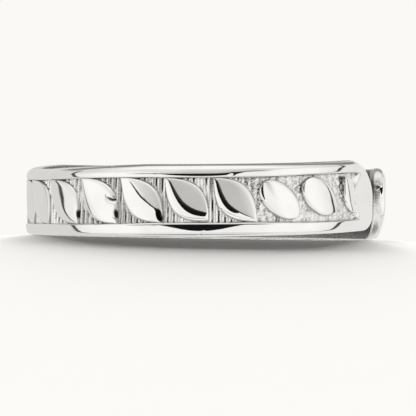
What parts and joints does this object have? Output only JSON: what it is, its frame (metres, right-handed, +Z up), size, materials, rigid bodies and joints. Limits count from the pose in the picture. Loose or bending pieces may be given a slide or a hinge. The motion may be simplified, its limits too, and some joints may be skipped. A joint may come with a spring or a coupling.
{
  "type": "toe ring",
  "caption": "Open, slightly springy toe ring: a band with plain polished rails, a recessed channel of slanting raised leaves and rounded plain ends.",
  "frame": {"origin": "on the axis of the toe hollow, on the surface that the ring lies on", "axes": "+Z up along the axis of the toe hollow; the gap between the free ends faces +X; the front of the band, as pictured, faces -Y"},
  "size_m": [0.0161, 0.0162, 0.0036],
  "materials": {
    "silver": "polished cast sterling silver"
  },
  "bodies": {
    "root": {"band": "silver"}
  },
  "joints": []
}
